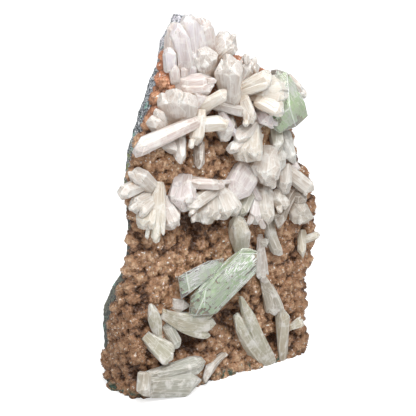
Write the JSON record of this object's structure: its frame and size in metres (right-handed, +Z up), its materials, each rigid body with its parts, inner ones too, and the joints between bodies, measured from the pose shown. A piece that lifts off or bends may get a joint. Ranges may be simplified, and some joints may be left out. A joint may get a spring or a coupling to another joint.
{
  "type": "apophyllite cluster",
  "caption": "Upright mineral specimen: glassy green apophyllite and satin white stilbite sheaves grown on a brown sugary druse over dark basalt, with a flat base to stand on.",
  "frame": {"origin": "middle of the flat underside of the basalt", "axes": "+Z up along the height of the specimen, -Y towards the crystal-covered face, +X to the right of someone who looks at the face"},
  "size_m": [0.0962, 0.0571, 0.1489],
  "materials": {
    "basalt": "rough broken basalt, salt and pepper, with green celadonite spots",
    "druse": "brown balls of small sparkling crystals",
    "stilbite": "satin, pearly, faintly translucent, finely striated along each crystal",
    "clear_apophyllite": "glassy and see-through, pale mint green, with white veils inside",
    "green_apophyllite": "glassy and see-through, apple green, with white veils inside"
  },
  "bodies": {
    "root": {"apophyllite_crystal": "clear_apophyllite", "basalt_matrix": "basalt", "bone_stilbite": "stilbite", "bottom_stilbite_group": "stilbite", "curved_stilbite": "stilbite", "druse_crust": "druse", "green_apophyllite": "green_apophyllite", "hanging_stilbite": "stilbite", "hanging_stilbite_2": "stilbite", "lilac_stilbite": "stilbite", "middle_stilbite_cluster": "stilbite", "right_edge_stilbite": "stilbite", "right_edge_stilbite_2": "stilbite", "slab_stilbite": "stilbite", "spear_pair": "stilbite", "upper_stilbite_cluster": "stilbite"}
  },
  "joints": []
}
